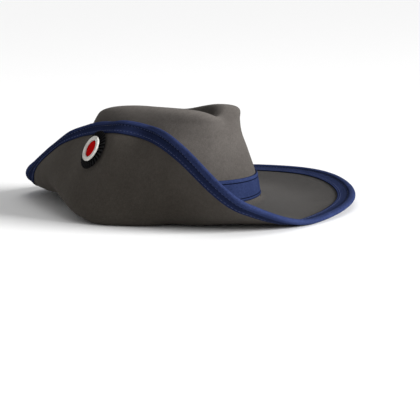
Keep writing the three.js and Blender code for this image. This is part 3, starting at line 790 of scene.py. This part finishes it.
band_angles = np.arange(BAND_COLUMNS) * 360 / BAND_COLUMNS
band_samples = np.linspace(SAMPLES_TOP_RING, FOLD_RING, BAND_SAMPLES)
band_fine = crown_surface(band_angles, band_samples[:, None])
band_facing = face_out(band_fine)
band_drop = np.linspace(0, 1, BAND_ROWS)
band_at = np.interp(BAND_TOP_RING + (FOLD_RING - BAND_TOP_RING) * band_drop,
                    band_samples, np.arange(BAND_SAMPLES))
low = np.clip(band_at.astype(int), 0, BAND_SAMPLES - 2)
part = (band_at - low)[:, None, None]
band_middle = band_fine[low] * (1 - part) + band_fine[low + 1] * part
band_face = band_facing[low] * (1 - part) + band_facing[low + 1] * part
from_top = band_drop * BAND_WIDTH
from_bottom = BAND_WIDTH - from_top
seams = (np.exp(-((from_top - HEM_TOP) / SEAM_HALF) ** 2)
         + np.exp(-((from_bottom - HEM_BOTTOM) / SEAM_HALF) ** 2))
hems = (smooth((HEM_TOP - from_top) / HEM_STEP)
        + smooth((HEM_BOTTOM - from_bottom) / HEM_STEP))
edges = np.exp(-(from_top / EDGE_REACH) ** 2) + np.exp(-(from_bottom / EDGE_REACH) ** 2)
band_lift = (FELT / 2 + RIBBON_GAP + BAND_OUT
             + HEM_RISE * hems - SEAM_DEPTH * seams - EDGE_DROP * edges)
band_outer = band_middle + band_face * band_lift[:, None, None]
inner_rows = [-1, BAND_ROWS // 2, 0]
band_inner = band_middle[inner_rows] + band_face[inner_rows] * (FELT / 2 + RIBBON_GAP)
band_points = lay_on_table(np.concatenate([band_outer, band_inner]))
band_quads = wrapped_faces(len(band_points), BAND_COLUMNS, True)
band_across = np.concatenate([from_top, BAND_WIDTH + np.array([0.002, 0.014, 0.026, 0.028])])
band = hat_piece("band", band_points, band_quads.tolist(),
                 ribbon_uv(run_round(band_points[BAND_ROWS // 2]), band_across))
band.data.materials.append(ribbon_cloth(
    "blue_grosgrain", (0.0165, 0.0245, 0.068), (0.022, 0.032, 0.084), 0.0009, BAND_WIDTH,
    [(0, 0.8), (1.0, 1.2), (3.6, 1.1), (3.9, 0.12), (4.5, 0.12), (4.9, 1.0),
     (12, 1.0), (20.0, 1.0), (20.3, 0.12), (20.8, 0.12), (21.2, 1.05), (23.8, 0.5)]))
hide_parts("hat_band")
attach(band, "root")


# Rosette of the cockade: a black silk ribbon pressed into radial pleats and
# gathered into a ring, which the post holds on the turned-up brim.
PLEATS = 30
PLEAT_COLUMNS = 16
PLEAT_UP = 0.28
ROSETTE_RADIUS = 0.0211
ROSETTE_BORE = 0.0064
ROSETTE_UNDERSIDE = 0.0003
ROSETTE_TOP = 0.0027
ROSETTE_RIM = 0.0018
RIM_FALL_FROM = 0.0135
RIM_FALL = 0.0075
PLEATS_FROM = 0.0075
PLEATS_GROW = 0.008
PLEAT_HEIGHT = 0.00115
PLEAT_SINK = 0.0006
SCALLOP = 0.014
TOP_ROWS = 26
SEAT_STANDOFF = 0.0006

seat_level = np.cross([0, 0, 1], seat_out)
seat_level /= np.linalg.norm(seat_level)
seat_rise = np.cross(seat_out, seat_level)
seat_point = seat_middle + seat_out * (FELT / 2 + SEAT_STANDOFF)


def on_cockade(local):
    """Points of the cockade's own frame, whose Z leaves the felt, on the hat."""
    return lay_on_table(seat_point + local @ np.stack([seat_level, seat_rise, seat_out]))


def turned_grid(radius, height, turn):
    """A grid of a profile (rows) carried round the cockade's axis (columns)."""
    across, along = radius * np.cos(turn), radius * np.sin(turn)
    return np.stack([across, along, np.broadcast_to(height, across.shape)], -1)


# The profile runs from the bore out along the pleats, round the rim and back along
# the underside
pleat_turn = np.arange(PLEATS * PLEAT_COLUMNS) * 2 * np.pi / (PLEATS * PLEAT_COLUMNS)
top_radius = np.linspace(ROSETTE_BORE, ROSETTE_RADIUS - 0.0004, TOP_ROWS)
rim_fall = smooth((top_radius - RIM_FALL_FROM) / RIM_FALL)
top_height = ROSETTE_TOP - (ROSETTE_TOP - ROSETTE_RIM) * rim_fall
under_radius = np.array([ROSETTE_RADIUS - 0.0003, 0.0200, 0.0172, 0.0142, 0.010, ROSETTE_BORE])
under_height = np.array([0.0012, 0.00105, 0.00065] + [ROSETTE_UNDERSIDE] * 3)
profile_radius = np.concatenate([top_radius, [ROSETTE_RADIUS], under_radius])
profile_height = np.concatenate([top_height, [ROSETTE_RIM - 0.0003], under_height])
upper = np.concatenate([np.ones(TOP_ROWS), [0.45], np.zeros(len(under_radius))])
# Each pleat is a flat fold that leans: up fast, then slowly down, as a
# rounded saw tooth of the turn
phase = np.mod(pleat_turn * PLEATS / (2 * np.pi), 1)
tooth = smooth(phase / PLEAT_UP) * (1 - smooth((phase - PLEAT_UP) / (1 - PLEAT_UP)))
growth = (smooth((profile_radius - PLEATS_FROM) / PLEATS_GROW) * upper)[:, None]
pleated = profile_height[:, None] + growth * (PLEAT_HEIGHT * tooth[None] - PLEAT_SINK)
scallop = 1 + SCALLOP * growth * (tooth[None] - 0.5)
rosette_points = turned_grid(profile_radius[:, None] * scallop, pleated, pleat_turn)
rosette = hat_piece("rosette", on_cockade(rosette_points),
                    wrapped_faces(len(profile_radius), len(pleat_turn), True).tolist())
# The crest value carries painted light: the black silk is painted lighter on the pleats' crests as a
# painted highlight and darker in the valleys as painted shade
point_values(rosette, "crest", tooth * np.minimum(growth * 2, 1))
black_silk, black_tree, black_shader = nodes_of("black_pleated_silk")
black_place = add(black_tree, "ShaderNodeTexCoord").outputs["Object"]
silk_threads = noise(black_tree, black_place, 1500, 3)
crest_highlight = add(black_tree, "ShaderNodeAttribute", attribute_name="crest").outputs["Fac"]
silk_tone = shade(black_tree, crest_highlight, (0.0006, 0.0006, 0.0008), (0.015, 0.015, 0.0165), 0.35, 1.0)
silk_tone = varied(black_tree, silk_tone, silk_threads, 0.7, 1.2)
black_tree.links.new(silk_tone, black_shader.inputs["Base Color"])
black_tree.links.new(relief(black_tree, silk_threads, 0.00012), black_shader.inputs["Normal"])
black_shader.inputs["Roughness"].default_value = 0.6
black_shader.inputs["Specular IOR Level"].default_value = 0.03
rosette.data.materials.append(black_silk)
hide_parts("cockade_rosette")
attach(rosette, "root")


# White ring of the cockade: off-white ribbon drawn tight over a firm padded
# ring and sewn down on the pleats, now a little grimy.
RING_FLOOR = 0.0033
RING_TURNS = 160

# The profiles of ring and centre list radius and height over the ring's floor, in mm
ring_turn = np.arange(RING_TURNS) * 2 * np.pi / RING_TURNS
ring_profile = np.array([
    [9.8, 0.0], [13.0, 0.0], [13.55, 0.25], [13.75, 0.8], [13.8, 1.4], [13.6, 1.95], [13.1, 2.3],
    [12.4, 2.5], [11.6, 2.52], [10.8, 2.45], [10.0, 2.2], [9.45, 1.8], [9.2, 1.2], [9.25, 0.5],
]) / 1000
ring_points = turned_grid(ring_profile[:, :1], ring_profile[:, 1:] + RING_FLOOR, ring_turn)
white_ring = hat_piece("white_ring", on_cockade(ring_points),
                       wrapped_faces(len(ring_profile), RING_TURNS, True).tolist())
white_ribbon, white_tree, white_shader = nodes_of("off_white_ribbon")
white_place = add(white_tree, "ShaderNodeTexCoord").outputs["Object"]
ring_weave = noise(white_tree, white_place, 1900, 3, 0.6)
ring_grime = noise(white_tree, white_place, 150, 4, 0.6)
white_tone = shade(white_tree, ring_grime, (0.48, 0.46, 0.42), (0.72, 0.70, 0.655), 0.34, 0.50)
white_tone = varied(white_tree, white_tone, ring_weave, 0.86, 1.06)
white_tree.links.new(white_tone, white_shader.inputs["Base Color"])
white_tree.links.new(relief(white_tree, ring_weave, 0.00012), white_shader.inputs["Normal"])
white_shader.inputs["Roughness"].default_value = 0.6
white_shader.inputs["Sheen Weight"].default_value = 0.1
white_ring.data.materials.append(white_ribbon)
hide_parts("cockade_ring")
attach(white_ring, "root")


# Red centre of the cockade: a low domed button covered in red wool cloth, whose
# stem goes through the rosette's middle to the post.
BOSS_TURNS = 96

boss_turn = np.arange(BOSS_TURNS) * 2 * np.pi / BOSS_TURNS
boss_profile = np.array([
    [0.02, 1.62], [1.5, 1.61], [3.2, 1.57], [5, 1.48], [6.8, 1.33], [7.9, 1.12], [8.5, 0.85],
    [8.78, 0.5], [8.8, 0.2], [8.6, 0.0], [6.0, 0.0], [6.0, -2.7], [0.02, -2.7],
]) / 1000
boss_points = turned_grid(boss_profile[:, :1], boss_profile[:, 1:] + RING_FLOOR, boss_turn)
boss_faces = wrapped_faces(len(boss_profile), BOSS_TURNS, False)[:, ::-1].tolist()
boss_last = BOSS_TURNS * len(boss_profile)
ends = [list(range(BOSS_TURNS)), list(range(boss_last - 1, boss_last - BOSS_TURNS - 1, -1))]
boss = hat_piece("red_centre", on_cockade(boss_points), boss_faces + ends)
red_wool, red_tree, red_shader = nodes_of("red_wool_cloth")
red_place = add(red_tree, "ShaderNodeTexCoord").outputs["Object"]
red_nap = noise(red_tree, red_place, 900, 5, 0.7)
red_wear = noise(red_tree, red_place, 170, 3, 0.6)
red_tone = shade(red_tree, red_wear, (0.42, 0.0010, 0.0010), (0.56, 0.0018, 0.0018))
red_tone = varied(red_tree, red_tone, red_nap, 0.72, 1.12)
red_tree.links.new(red_tone, red_shader.inputs["Base Color"])
red_tree.links.new(relief(red_tree, red_nap, 0.00015), red_shader.inputs["Normal"])
red_shader.inputs["Roughness"].default_value = 0.8
red_shader.inputs["Specular IOR Level"].default_value = 0.02
boss.data.materials.append(red_wool)
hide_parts("cockade_boss")
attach(boss, "root")


# Post and plate: a plain steel shank through the felt, clinched on a round
# plate on the crown's side, which holds cockade and brim.
steel, steel_tree, steel_shader = nodes_of("plain_steel")
steel_place = add(steel_tree, "ShaderNodeTexCoord").outputs["Object"]
tarnish = noise(steel_tree, steel_place, 300, 4, 0.6)
steel_tree.links.new(shade(steel_tree, tarnish, (0.16, 0.155, 0.145), (0.36, 0.355, 0.34)),
                     steel_shader.inputs["Base Color"])
steel_tree.links.new(relief(steel_tree, tarnish, 0.00005), steel_shader.inputs["Normal"])
steel_shader.inputs["Metallic"].default_value = 1.0
steel_shader.inputs["Roughness"].default_value = 0.42
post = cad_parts["cockade_post"]
post.data.materials.clear()
post.data.materials.append(steel)
